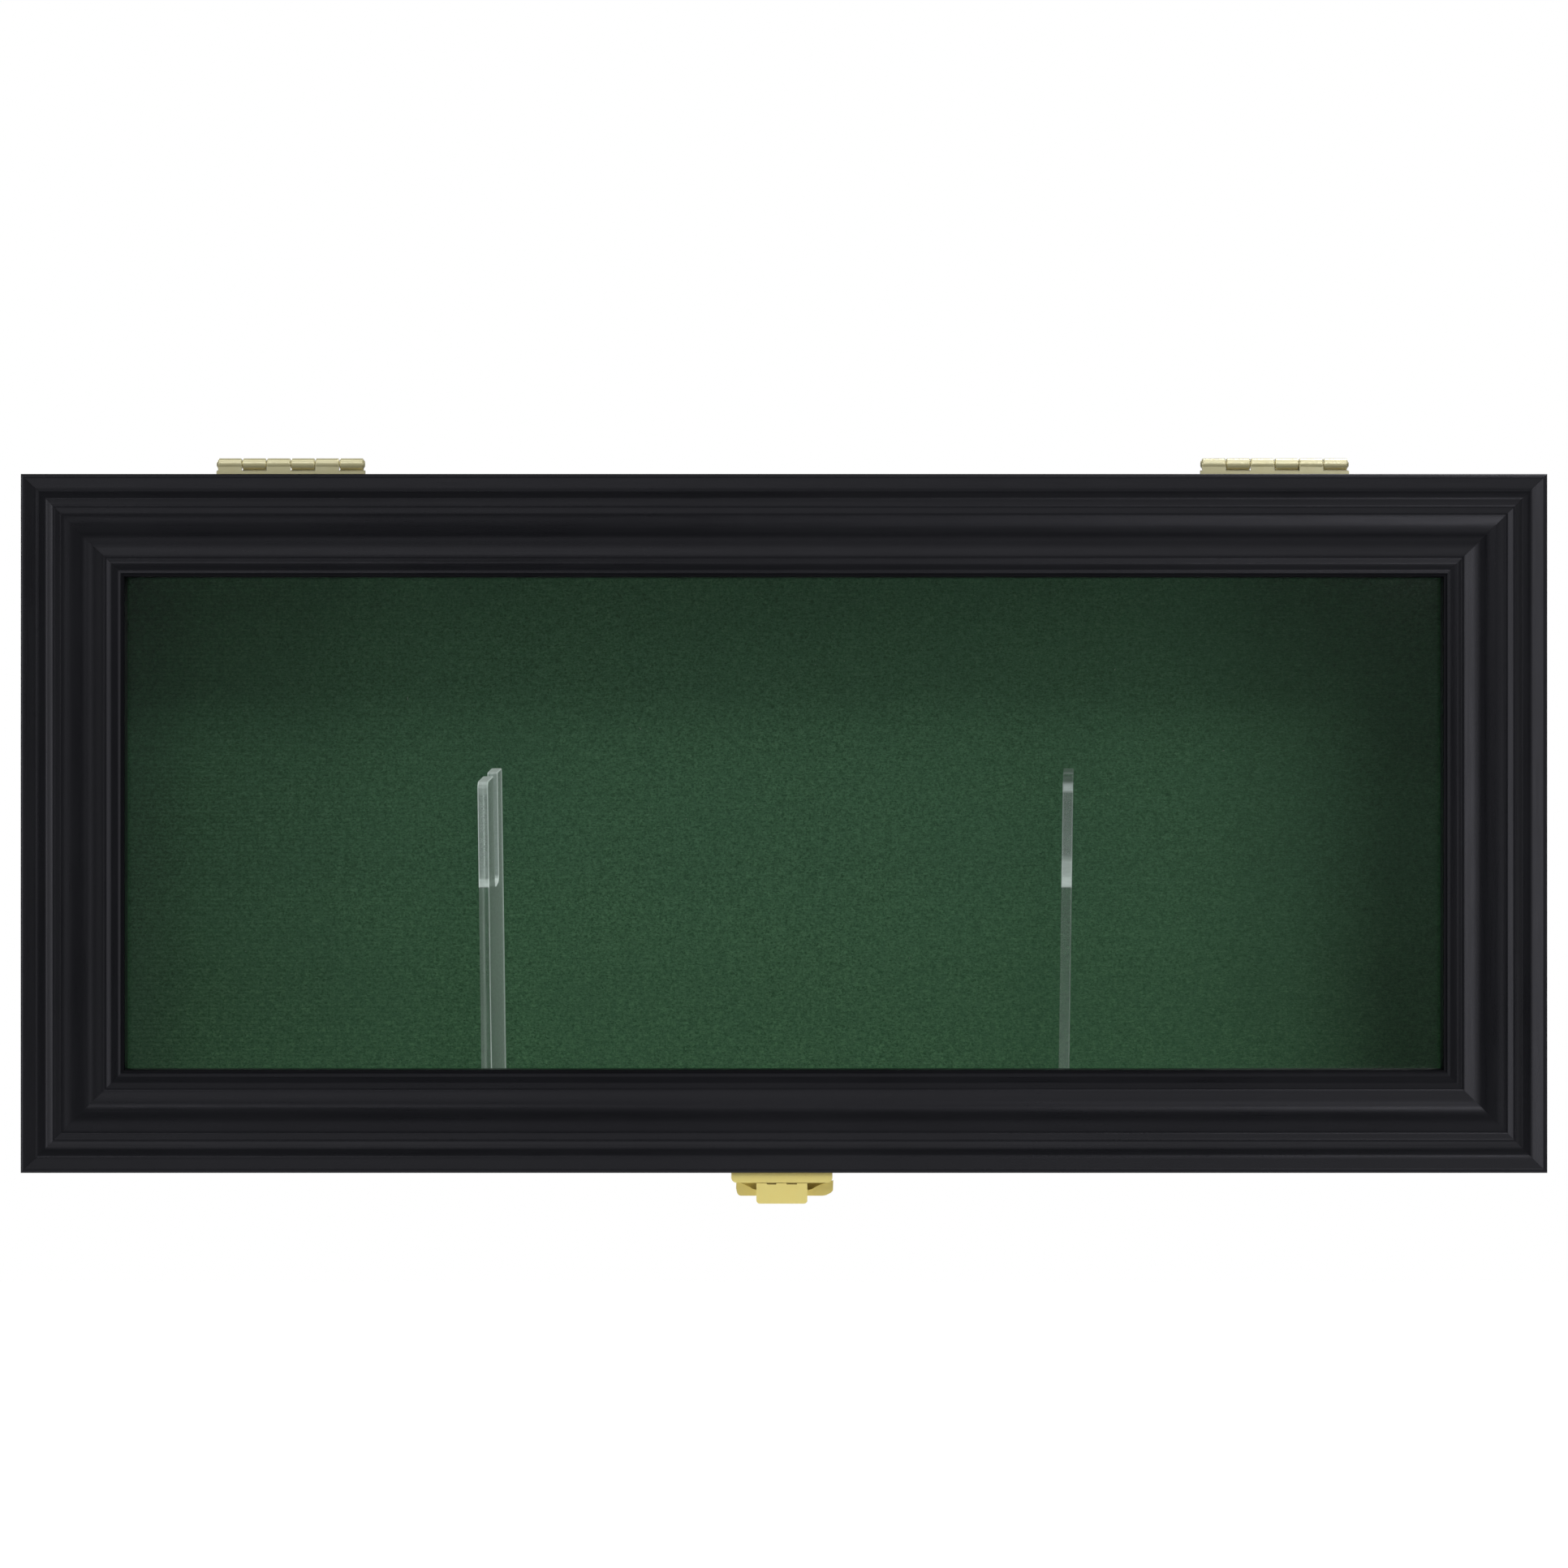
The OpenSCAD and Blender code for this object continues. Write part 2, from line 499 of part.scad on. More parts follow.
module stand() rotate([90, 0, 90]) linear_extrude(height = stand_t, center = true) polygon(stand_outline());
module stand_slots(room) for (s = [-1, 1]) at_stand(s)
  block([-stand_t / 2 - room, -stand_d / 2 - room, -tenon - felt_t], [stand_t / 2 + room, stand_d / 2 + room, 1]);
module stand_left() color(clear) at_stand(-1) stand();
module stand_right() color(clear) at_stand(1) stand();

module placed() translate([0, 0, case_lift]) children();

placed() door_top_rail();
placed() door_bottom_rail();
placed() door_left_stile();
placed() door_right_stile();
placed() door_pane();
placed() pane_stop_top();
placed() pane_stop_bottom();
placed() pane_stop_left();
placed() pane_stop_right();
placed() pane_stop_brads();
placed() door_v_nails();
placed() hinge_left_door_leaf();
placed() hinge_right_door_leaf();
placed() hinge_door_screws();
placed() latch_strike_plate();
placed() latch_strike_screws();
placed() case_top_board();
placed() case_bottom_board();
placed() case_left_board();
placed() case_right_board();
placed() case_corner_brads();
placed() back_board();
placed() back_board_screws();
placed() backing_pad();
placed() felt_back();
placed() felt_top();
placed() felt_bottom();
placed() felt_left();
placed() felt_right();
placed() stand_left();
placed() stand_right();
placed() hinge_left_case_leaf();
placed() hinge_right_case_leaf();
placed() hinge_case_screws();
placed() hinge_left_pin();
placed() hinge_right_pin();
placed() latch_base();
placed() latch_base_screws();
placed() latch_pin();
placed() latch_lever();
placed() keyhole_plate_left();
placed() keyhole_plate_right();
placed() keyhole_screws();
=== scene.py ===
import bpy
import bmesh
import math
import random
from mathutils import Vector, Matrix, noise


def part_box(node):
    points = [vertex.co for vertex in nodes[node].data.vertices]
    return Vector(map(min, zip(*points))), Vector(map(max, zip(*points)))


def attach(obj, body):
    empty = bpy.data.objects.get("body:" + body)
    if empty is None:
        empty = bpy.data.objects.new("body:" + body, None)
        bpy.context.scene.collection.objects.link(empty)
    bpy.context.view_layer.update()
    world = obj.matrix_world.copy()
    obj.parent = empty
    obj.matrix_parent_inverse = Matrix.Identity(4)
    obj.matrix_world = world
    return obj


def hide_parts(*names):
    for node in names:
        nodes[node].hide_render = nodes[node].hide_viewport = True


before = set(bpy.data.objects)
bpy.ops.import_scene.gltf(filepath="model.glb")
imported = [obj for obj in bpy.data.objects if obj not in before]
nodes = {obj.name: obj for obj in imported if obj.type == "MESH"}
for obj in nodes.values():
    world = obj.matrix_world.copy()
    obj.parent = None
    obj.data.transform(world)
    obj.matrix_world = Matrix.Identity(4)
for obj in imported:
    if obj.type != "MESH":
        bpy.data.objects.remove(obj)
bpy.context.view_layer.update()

rng = random.Random(7)

# ---------------------------------------------------------------- sizes, in metres, in the row frame
DOOR_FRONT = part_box("door_top_rail")[0][1]
CASE_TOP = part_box("case_top_board")[1][2]
CASE_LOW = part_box("case_bottom_board")[0][2]
MID_Z = (CASE_TOP + CASE_LOW) / 2


# ---------------------------------------------------------------- node helpers
class Mat:
    """A material under construction: short names for the nodes and links it is made of."""

    def __init__(self, name):
        self.mat = bpy.data.materials.new(name)
        self.mat.use_nodes = True
        self.t = self.mat.node_tree
        self.t.nodes.clear()
        self.out = self.t.nodes.new("ShaderNodeOutputMaterial")

    def node(self, kind, **props):
        n = self.t.nodes.new(kind)
        for k, v in props.items():
            if k.startswith("in_"):
                n.inputs[k[3:].replace("_", " ")].default_value = v
            else:
                setattr(n, k, v)
        return n

    def link(self, a, b):
        self.t.links.new(a, b)

    def surface(self, socket):
        self.link(socket, self.out.inputs["Surface"])

    def coords(self, scale=(1, 1, 1), rotate=(0, 0, 0)):
        tc = self.node("ShaderNodeTexCoord")
        mp = self.node("ShaderNodeMapping")
        mp.inputs["Scale"].default_value = scale
        mp.inputs["Rotation"].default_value = rotate
        self.link(tc.outputs["Object"], mp.inputs["Vector"])
        return mp.outputs["Vector"]

    def noise(self, vec, scale, detail=3.0, rough=0.5, distortion=0.0):
        n = self.node("ShaderNodeTexNoise")
        n.inputs["Scale"].default_value = scale
        n.inputs["Detail"].default_value = detail
        n.inputs["Roughness"].default_value = rough
        n.inputs["Distortion"].default_value = distortion
        self.link(vec, n.inputs["Vector"])
        return n.outputs["Fac"]

    def ramp(self, fac, stops):
        n = self.node("ShaderNodeValToRGB")
        el = n.color_ramp.elements
        while len(el) > 1:
            el.remove(el[-1])
        el[0].position, el[0].color = stops[0][0], (*stops[0][1], 1)
        for pos, col in stops[1:]:
            e = el.new(pos)
            e.color = (*col, 1)
        self.link(fac, n.inputs["Fac"])
        return n.outputs["Color"]

    def remap(self, fac, lo, hi, from_lo=0.0, from_hi=1.0):
        n = self.node("ShaderNodeMapRange")
        n.inputs["From Min"].default_value = from_lo
        n.inputs["From Max"].default_value = from_hi
        n.inputs["To Min"].default_value = lo
        n.inputs["To Max"].default_value = hi
        self.link(fac, n.inputs["Value"])
        return n.outputs["Result"]

    def mix(self, fac, a, b, mode="MIX"):
        n = self.node("ShaderNodeMix", data_type="RGBA", blend_type=mode)
        for sock, v in ((n.inputs[0], fac), (n.inputs[6], a), (n.inputs[7], b)):
            if hasattr(v, "is_linked") or isinstance(v, bpy.types.NodeSocket):
                self.link(v, sock)
            elif isinstance(v, (int, float)):
                sock.default_value = v
            else:
                sock.default_value = (*v, 1)
        return n.outputs[2]

    def bump(self, height, strength, distance, normal=None):
        n = self.node("ShaderNodeBump")
        n.inputs["Strength"].default_value = strength
        n.inputs["Distance"].default_value = distance
        self.link(height, n.inputs["Height"])
        if normal is not None:
            self.link(normal, n.inputs["Normal"])
        return n.outputs["Normal"]

    def principled(self, **values):
        n = self.node("ShaderNodeBsdfPrincipled")
        for k, v in values.items():
            n.inputs[k.replace("_", " ")].default_value = v
        return n


def srgb(r, g, b):
    """8-bit display values to linear."""
    return tuple((c / 255 / 12.92) if c / 255 <= 0.04045 else ((c / 255 + 0.055) / 1.055) ** 2.4 for c in (r, g, b))


# ---------------------------------------------------------------- materials
def lacquer(name, along):
    """Satin black lacquer on wood: faint grain along the bar under an even film, with slight orange peel."""
    m = Mat(name)
    stretch = {"x": (1, 18, 18), "z": (18, 18, 1)}[along]
    grain = m.noise(m.coords(stretch), 70, 4, 0.6, 0.2)
    plain = m.coords()
    peel = m.noise(plain, 620, 2, 0.5)
    cloud = m.noise(plain, 26, 4, 0.6, 0.4)
    patch = m.noise(m.coords({"x": (1, 3, 3), "z": (3, 3, 1)}[along]), 9, 3, 0.55)
    p = m.principled(IOR=1.5)
    p.inputs["Specular Tint"].default_value = (0.90, 0.893, 1.0, 1)
    col = m.mix(m.remap(cloud, 0, 1, 0.3, 0.7), (0.0027, 0.0028, 0.0037), (0.0048, 0.0050, 0.0062))
    col = m.mix(m.remap(grain, 0.0, 0.5, 0.55, 0.75), col, (0.0021, 0.0022, 0.0028))
    m.link(col, p.inputs["Base Color"])
    # the last millimetre round the window, the sight edge, has its specular turned down: a painted shade line along the
    # sight edge
    tc = m.node("ShaderNodeTexCoord")
    place = m.node("ShaderNodeVectorMath", operation="SUBTRACT")
    m.link(tc.outputs["Object"], place.inputs[0])
    place.inputs[1].default_value = (0, 0, MID_Z)
    size = m.node("ShaderNodeVectorMath", operation="ABSOLUTE")
    m.link(place.outputs[0], size.inputs[0])
    sep = m.node("ShaderNodeSeparateXYZ")
    m.link(size.outputs[0], sep.inputs[0])
    lip = m.node("ShaderNodeMath", operation="MULTIPLY")
    m.link(m.remap(sep.outputs["X"], 1.0, 0.0, SIGHT_X + 0.0007, SIGHT_X + 0.0011), lip.inputs[0])
    m.link(m.remap(sep.outputs["Z"], 1.0, 0.0, SIGHT_Z + 0.0007, SIGHT_Z + 0.0011), lip.inputs[1])
    m.link(m.remap(lip.outputs[0], SPEC, 0.06), p.inputs["Specular IOR Level"])
    rough = m.node("ShaderNodeMath", operation="ADD")
    m.link(m.remap(patch, 0.27, 0.33, 0.3, 0.7), rough.inputs[0])
    m.link(m.remap(grain, -0.03, 0.03, 0.3, 0.7), rough.inputs[1])
    m.link(rough.outputs[0], p.inputs["Roughness"])
    n1 = m.bump(grain, 0.10, 0.00010)
    n2 = m.bump(peel, 0.08, 0.00005, n1)
    m.link(n2, p.inputs["Normal"])
    m.surface(p.outputs["BSDF"])
    return m.mat


def felt_material(name, rib_axis, painted_falloff=False):
    """Short-pile green felt: matted fibres and fine regular ribs 1.08 mm apart, straight at the left and wandering further right."""
    m = Mat(name)
    tc = m.node("ShaderNodeTexCoord")
    sep = m.node("ShaderNodeSeparateXYZ")
    m.link(tc.outputs["Object"], sep.inputs[0])
    plain = m.coords()
    drift = m.noise(m.coords((1, 1.6, 1.6)), 55, 3, 0.6)
    amount = m.remap(sep.outputs["X"], 0.00004, 0.0010, -0.150, -0.045)
    push = m.node("ShaderNodeMath", operation="MULTIPLY")
    m.link(m.remap(drift, -1, 1, 0.0, 1.0), push.inputs[0])
    m.link(amount, push.inputs[1])
    along = m.node("ShaderNodeMath", operation="ADD")
    m.link(sep.outputs[rib_axis], along.inputs[0])
    m.link(push.outputs[0], along.inputs[1])
    turn = m.node("ShaderNodeMath", operation="MULTIPLY")
    m.link(along.outputs[0], turn.inputs[0])
    turn.inputs[1].default_value = 2 * math.pi / 0.00108
    wave = m.node("ShaderNodeMath", operation="SINE")
    m.link(turn.outputs[0], wave.inputs[0])
    ribs = m.remap(wave.outputs[0], 0, 1, -1, 1)
    fibre = m.noise(plain, 1500, 2, 0.75, 0.8)
    strand = m.noise(m.coords((1, 1, 4.5), (0.3, 0.2, 0.5)), 900, 3, 0.65, 1.0)
    tuft = m.noise(plain, 640, 3, 0.6, 0.4)
    cloud = m.noise(plain, 30, 4, 0.6)
    base = m.mix(m.remap(fibre, 0, 1, 0.34, 0.66), FELT_DARK, FELT_LIGHT)
    base = m.mix(m.remap(sep.outputs["X"], 0.0, 0.34, 0.030, 0.125), base, tuple((a + b) / 2 for a, b in zip(FELT_DARK, FELT_LIGHT)))
    base = m.mix(m.remap(strand, 0.0, 0.75, 0.50, 0.68), base, FELT_PALE)
    base = m.mix(m.remap(tuft, 0.0, 0.55, 0.40, 0.75), base, FELT_DEEP)
    rib_tone = m.node("ShaderNodeMath", operation="MULTIPLY")
    m.link(ribs, rib_tone.inputs[0])
    m.link(m.remap(sep.outputs["X"], 0.30, 0.09, -0.150, -0.040), rib_tone.inputs[1])
    base = m.mix(rib_tone.outputs[0], base, FELT_DEEP)
    base = m.mix(m.remap(cloud, 0.0, 0.24, 0.35, 0.7), base, FELT_COOL)
    if painted_falloff:                                                      # painted light and shade on the back sheet: lighter low down, darker at its left end and a little darker at its right end, where the frame shades it
        base = m.mix(m.remap(sep.outputs["Z"], 1.0, 0.0, -0.113, -0.063), base, m.mix(1.0, base, (1.48, 1.46, 1.40), "MULTIPLY"))
        base = m.mix(m.remap(sep.outputs["X"], 1.0, 0.0, -0.162, -0.143), base, m.mix(1.0, base, (0.76, 0.72, 0.78), "MULTIPLY"))
        base = m.mix(m.remap(sep.outputs["X"], 0.0, 1.0, 0.108, 0.132), base, m.mix(1.0, base, (0.86, 0.86, 0.86), "MULTIPLY"))
    p = m.principled(Roughness=0.95, Sheen_Weight=0.12, Sheen_Roughness=0.5, IOR=1.3, Specular_IOR_Level=0.25)
    p.inputs["Sheen Tint"].default_value = (0.5, 0.8, 0.58, 1)
    m.link(base, p.inputs["Base Color"])
    n1 = m.bump(ribs, 0.22, 0.00010)
    n2 = m.bump(strand, 0.45, 0.00018, n1)
    n3 = m.bump(fibre, 0.55, 0.00016, n2)
    m.link(n3, p.inputs["Normal"])
    m.surface(p.outputs["BSDF"])
    return m.mat


def brass_material(name, light, deep, rough, metallic, worn, coat, corner_shade):
    """Plated or lacquered brass: fine rolled scratches, slight tarnish in soft clouds and painted brown shade in the
    corners, where less light reaches.
    """
    m = Mat(name)
    plain = m.coords()
    scratch = m.noise(m.coords((1, 26, 26)), 420, 3, 0.7)
    cloud = m.noise(plain, 210, 4, 0.6)
    p = m.principled(Metallic=metallic, IOR=1.5, Coat_Weight=coat, Coat_Roughness=0.19, Coat_IOR=2.0)
    col = m.mix(m.remap(cloud, 0.0, worn, 0.35, 0.75), light, deep)
    nook = m.node("ShaderNodeAmbientOcclusion", samples=6)
    nook.inputs["Distance"].default_value = 0.0022
    open_nook = m.node("ShaderNodeMath", operation="MULTIPLY")    # painted shade: ambient occlusion darkens open corners brown, and not the narrow gaps
    m.link(m.remap(nook.outputs["AO"], corner_shade, 0.0, 0.35, 0.85), open_nook.inputs[0])
    m.link(m.remap(nook.outputs["AO"], 0.0, 1.0, 0.12, 0.40), open_nook.inputs[1])
    col = m.mix(open_nook.outputs[0], col, (0.20, 0.125, 0.03))
    m.link(col, p.inputs["Base Color"])
    r = m.node("ShaderNodeMath", operation="ADD")
    m.link(m.remap(cloud, rough[0], rough[1], 0.3, 0.7), r.inputs[0])
    m.link(m.remap(scratch, -0.03, 0.03, 0.3, 0.7), r.inputs[1])
    m.link(r.outputs[0], p.inputs["Roughness"])
    m.link(m.bump(scratch, 0.035, 0.00003), p.inputs["Normal"])
    m.surface(p.outputs["BSDF"])
    return m.mat


def steel_material(name):
    m = Mat(name)
    plain = m.coords()
    streak = m.noise(m.coords((25, 25, 1)), 300, 3, 0.65)
    spangle = m.noise(plain, 160, 2, 0.5)
    p = m.principled(Metallic=1.0)
    m.link(m.mix(m.remap(spangle, 0, 1, 0.3, 0.7), (0.50, 0.51, 0.53), (0.66, 0.67, 0.69)), p.inputs["Base Color"])
    m.link(m.remap(streak, 0.28, 0.46, 0.3, 0.7), p.inputs["Roughness"])
    m.link(m.bump(streak, 0.15, 0.00004), p.inputs["Normal"])
    m.surface(p.outputs["BSDF"])
    return m.mat


def board_material(name):
    """Bare pressed fibreboard: brown, flecked, with a fine fibrous face."""
    m = Mat(name)
    plain = m.coords()
    fleck = m.noise(plain, 520, 4, 0.8, 1.2)
    cloud = m.noise(plain, 14, 4, 0.55)
    p = m.principled(Roughness=0.82, IOR=1.4)
    col = m.mix(m.remap(fleck, 0, 1, 0.3, 0.7), (0.16, 0.098, 0.055), (0.33, 0.215, 0.125))
    col = m.mix(m.remap(cloud, 0.0, 0.45, 0.35, 0.7), col, (0.21, 0.135, 0.078))
    m.link(col, p.inputs["Base Color"])
    m.link(m.bump(fleck, 0.3, 0.0002), p.inputs["Normal"])
    m.surface(p.outputs["BSDF"])
    return m.mat


def mirrored(m, least):
    """How much of the light a clear face mirrors: least straight on, all of it at a grazing angle, the same from within."""
    lw = m.node("ShaderNodeLayerWeight")
    lw.inputs["Blend"].default_value = 0.5
    steep = m.node("ShaderNodeMath", operation="POWER")
    m.link(lw.outputs["Facing"], steep.inputs[0])
    steep.inputs[1].default_value = 5.0
    return m.remap(steep.outputs[0], least, 1.0)


def pane_material(name):
    """A thin clear pane: it lets nearly everything through and mirrors a little at its faces."""
    m = Mat(name)
    plain = m.coords()
    smear = m.noise(plain, 18, 3, 0.5)
    clear = m.node("ShaderNodeBsdfTransparent")
    clear.inputs["Color"].default_value = (0.985, 0.992, 0.988, 1)
    gloss = m.node("ShaderNodeBsdfGlossy")
    gloss.inputs["Color"].default_value = (1, 1, 1, 1)
    m.link(m.remap(smear, 0.02, 0.07, 0.3, 0.7), gloss.inputs["Roughness"])
    fres = m.node("ShaderNodeFresnel")                           # the light that reaches the felt comes in steeply only
    fres.inputs["IOR"].default_value = 1.42
    path = m.node("ShaderNodeLightPath")
    part = m.node("ShaderNodeMix", data_type="FLOAT")
    m.link(path.outputs["Is Camera Ray"], part.inputs[0])
    m.link(fres.outputs[0], part.inputs[2])
    m.link(mirrored(m, 0.030), part.inputs[3])
    mix = m.node("ShaderNodeMixShader")
    m.link(part.outputs[0], mix.inputs[0])
    m.link(clear.outputs[0], mix.inputs[1])
    m.link(gloss.outputs[0], mix.inputs[2])
    m.surface(mix.outputs[0])
    return m.mat


def acrylic_material(name, haze, crown, rise, film_on, caps, notch, shine, wall, rear, foot):
    """Clear acrylic sheet. The broad faces are polished, with a thin film of dust that shows along them, and the inner
    face glows with painted light that grows towards the back. The front cut edge is hazy, more so on the prong, painted
    palest at its crown as a highlight and just over the notch as a reflection, and it glows with painted light low
    down. Edges that face up are frosted and made whiter as a painted highlight, and they, the arrises and a line along
    the rear edge glow with painted light, though the sheet is no lamp. haze is for the foot and the prong, crown is how
    pale the painted highlight on the prong's crown is and how deep it reaches, rise is how far up from the notch the
    front edge is painted pale as a reflection, in metres, film_on is for the broad faces, caps and notch are how
    strongly the tops and the notch floor glow with painted light, shine is for the painted highlight and glow on the
    arrises, wall is how hazy the notch's rear wall is, rear is how strongly the painted highlight line along the rear
    edge shows through the inner face, and foot is the outer face at the floor as x, with the change of x per height."""
    m = Mat(name)
    tc = m.node("ShaderNodeTexCoord")
    sep = m.node("ShaderNodeSeparateXYZ")
    m.link(tc.outputs["Normal"], sep.inputs[0])
    at = m.node("ShaderNodeSeparateXYZ")
    m.link(tc.outputs["Object"], at.inputs[0])

    def size_of(socket):
        a = m.node("ShaderNodeMath", operation="ABSOLUTE")
        m.link(socket, a.inputs[0])
        return a.outputs[0]

    def math_of(kind, a, b, clamp=False):
        n = m.node("ShaderNodeMath", operation=kind, use_clamp=clamp)
        for sock, v in ((n.inputs[0], a), (n.inputs[1], b)):
            if isinstance(v, (int, float)):
                sock.default_value = v
            else:
                m.link(v, sock)
        return n.outputs[0]

    def blend(fac, a, b):
        n = m.node("ShaderNodeMix", data_type="FLOAT")
        for sock, v in ((n.inputs[0], fac), (n.inputs[2], a), (n.inputs[3], b)):
            if isinstance(v, (int, float)):
                sock.default_value = v
            else:
                m.link(v, sock)
        return n.outputs[0]

    side = size_of(sep.outputs["X"])
    cut = m.remap(side, 1.0, 0.0, 0.20, 0.50)                    # 1 on the cut edges
    broad = m.remap(side, 0.0, 1.0, 0.94, 0.99)                  # 1 on the broad faces
    up = m.remap(size_of(sep.outputs["Z"]), 0.0, 1.0, 0.10, 0.75)  # 1 where an edge faces up
    saw = m.noise(m.coords((1, 1, 6)), 260, 3, 0.6)
    faint = m.noise(m.coords(), 60, 3, 0.5)
    lw = m.node("ShaderNodeLayerWeight")
    lw.inputs["Blend"].default_value = 0.5
    dust = m.remap(lw.outputs["Facing"], 0.03, film_on, 0.35, 1.0)
    front = m.remap(at.outputs["Y"], 1.0, 0.0, STAND_FRONT + 0.0006, STAND_FRONT + 0.0016)
    prong = m.remap(at.outputs["Z"], 0.0, 1.0, NOTCH_Z - 0.0002, NOTCH_Z + 0.0002)
    # painted highlight: the prong's crown is painted pale
    top = m.remap(at.outputs["Z"], 0.0, 1.0, STAND_TOP - crown[1], STAND_TOP - crown[1] + 0.0008)
    # painted reflection: the front edge just over the notch is painted pale, and faintly a little higher
    near = m.remap(at.outputs["Z"], 1.0, 0.0, NOTCH_Z + rise * 0.72, NOTCH_Z + rise)
    near = math_of("MAXIMUM", near, m.remap(at.outputs["Z"], 0.22, 0.0, NOTCH_Z + rise * 0.9, NOTCH_Z + rise * 2.4))
    low_down = m.remap(at.outputs["Z"], 1.0, 0.0, STAND_FOOT, STAND_FOOT + 0.030)
    foremost = math_of("ADD", haze[0], math_of("MULTIPLY", low_down, 0.09))
    pale = blend(prong, foremost, blend(math_of("MULTIPLY", near, 0.5), haze[1], 1.0))
    pale = blend(top, pale, crown[0])
    lean = math_of("SUBTRACT", math_of("SUBTRACT", at.outputs["X"], foot[0]), math_of("MULTIPLY", at.outputs["Z"], foot[1]))
    lean = math_of("SUBTRACT", lean, math_of("MULTIPLY", math_of("SUBTRACT", at.outputs["Y"], STAND_FRONT), math.tan(-YAW)))
    inner = m.remap(lean, 0.30, 1.0, 0.0010, 0.0016)
    toward = m.remap(sep.outputs["Y"], 1.0, 0.0, -0.8, -0.4)
    edge = blend(front, math_of("ADD", 0.06, math_of("MULTIPLY", math_of("MULTIPLY", toward, prong), wall)), pale)
    deeper = m.remap(at.outputs["Y"], 0.93, 1.17, STAND_FRONT, STAND_BACK)
    # painted highlight: a line along the rear edge, shown through the inner face and made to glow
    rear_highlight_line = m.remap(at.outputs["Y"], 0.0, rear, STAND_BACK - 0.0050, STAND_BACK - 0.0022)
    film = math_of("ADD", math_of("MULTIPLY", dust, deeper), rear_highlight_line, True)
    film = blend(broad, edge, math_of("MULTIPLY", film, inner))
    dust_and_rear_highlight = math_of("MULTIPLY", film, m.remap(saw, 0.93, 1.07, 0.3, 0.7))
    line = math_of("MULTIPLY", m.remap(cut, 1.0, 0.0), m.remap(broad, 1.0, 0.0))   # the arrises
    outer = math_of("MULTIPLY", m.remap(lean, 1.0, 0.0, 0.0009, 0.0012), math_of("SUBTRACT", 1.0, prong))
    line = math_of("MULTIPLY", line, m.remap(outer, 1.0, 0.12))
    # painted highlight: the arrises are made paler
    lined = math_of("ADD", dust_and_rear_highlight, math_of("MULTIPLY", line, min(1.0, 0.25 + 2 * shine)), True)
    # edges that face up are frosted and made whiter, most at the notch floor, as a painted highlight
    upward_frost_and_highlight = math_of("MULTIPLY", up, m.remap(broad, 1.0, 0.0))
    low = m.remap(at.outputs["Z"], 1.0, 0.0, STAND_TOP - 0.012, STAND_TOP - 0.008)
    hidden = math_of("MAXIMUM", lined, math_of("MULTIPLY", upward_frost_and_highlight, blend(low, 0.55 + caps, 0.94)))
    # painted glow: emission on the upward edges, the arrises, the inner face, the front edge at the foot and just over
    # the notch, though the sheet is no lamp
    painted_glow = math_of("ADD", math_of("MULTIPLY", upward_frost_and_highlight, blend(low, caps, notch)), math_of("MULTIPLY", line, shine))
    glow = math_of("ADD", m.remap(at.outputs["Y"], caps * 0.12, caps * 0.32, STAND_FRONT, STAND_BACK), math_of("MULTIPLY", rear_highlight_line, 0.30))
    painted_glow = math_of("ADD", painted_glow, math_of("MULTIPLY", math_of("MULTIPLY", broad, inner), glow))
    painted_glow = math_of("ADD", painted_glow, math_of("MULTIPLY", math_of("MULTIPLY", front, low_down), 0.22))
    painted_glow = math_of("ADD", painted_glow, math_of("MULTIPLY", math_of("MULTIPLY", near, prong), math_of("MULTIPLY", front, notch * 0.5)))
    clear = m.node("ShaderNodeBsdfTransparent")
    clear.inputs["Color"].default_value = (0.955, 0.975, 0.96, 1)
    gloss = m.node("ShaderNodeBsdfGlossy")
    gloss.inputs["Color"].default_value = (1, 1, 1, 1)
    m.link(m.remap(faint, 0.04, 0.10, 0.3, 0.7), gloss.inputs["Roughness"])
    body = m.node("ShaderNodeMixShader")
    m.link(mirrored(m, 0.039), body.inputs[0])
    m.link(clear.outputs[0], body.inputs[1])
    m.link(gloss.outputs[0], body.inputs[2])
    milk = m.principled(IOR=1.49)
    m.link(m.mix(m.remap(saw, 0, 1, 0.3, 0.7), (0.76, 0.87, 0.83), (0.82, 0.92, 0.89)), milk.inputs["Base Color"])
    milk.inputs["Emission Color"].default_value = (0.90, 1.0, 0.95, 1)
    m.link(painted_glow, milk.inputs["Emission Strength"])
    m.link(m.remap(saw, 0.35, 0.5, 0.3, 0.7), milk.inputs["Roughness"])
    mix = m.node("ShaderNodeMixShader")
    m.link(hidden, mix.inputs[0])
    m.link(body.outputs[0], mix.inputs[1])
    m.link(milk.outputs[0], mix.inputs[2])
    passed = m.node("ShaderNodeBsdfTransparent")                 # light that the edges scatter still reaches the felt
    passed.inputs["Color"].default_value = (0.93, 0.95, 0.94, 1)
    path = m.node("ShaderNodeLightPath")
    last = m.node("ShaderNodeMixShader")
    m.link(path.outputs["Is Shadow Ray"], last.inputs[0])
    m.link(mix.outputs[0], last.inputs[1])
    m.link(passed.outputs[0], last.inputs[2])
    m.surface(last.outputs[0])
    return m.mat


YAW = -math.radians(2.7)


def stand_side(name):
    """Where the left face of a stand crosses the floor of the frame's height 0, at its front edge, and how x changes with height."""
    pts = [p.co for p in nodes[name].data.vertices if p.co.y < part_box(name)[0][1] + 0.0004]
    low, high = min(p.z for p in pts), max(p.z for p in pts)
    a = min((p for p in pts if p.z < low + 0.0004), key=lambda p: p.x)
    b = min((p for p in pts if p.z > high - 0.0004), key=lambda p: p.x)
    per = (b.x - a.x) / (b.z - a.z)
    return (a.x - a.z * per, per)


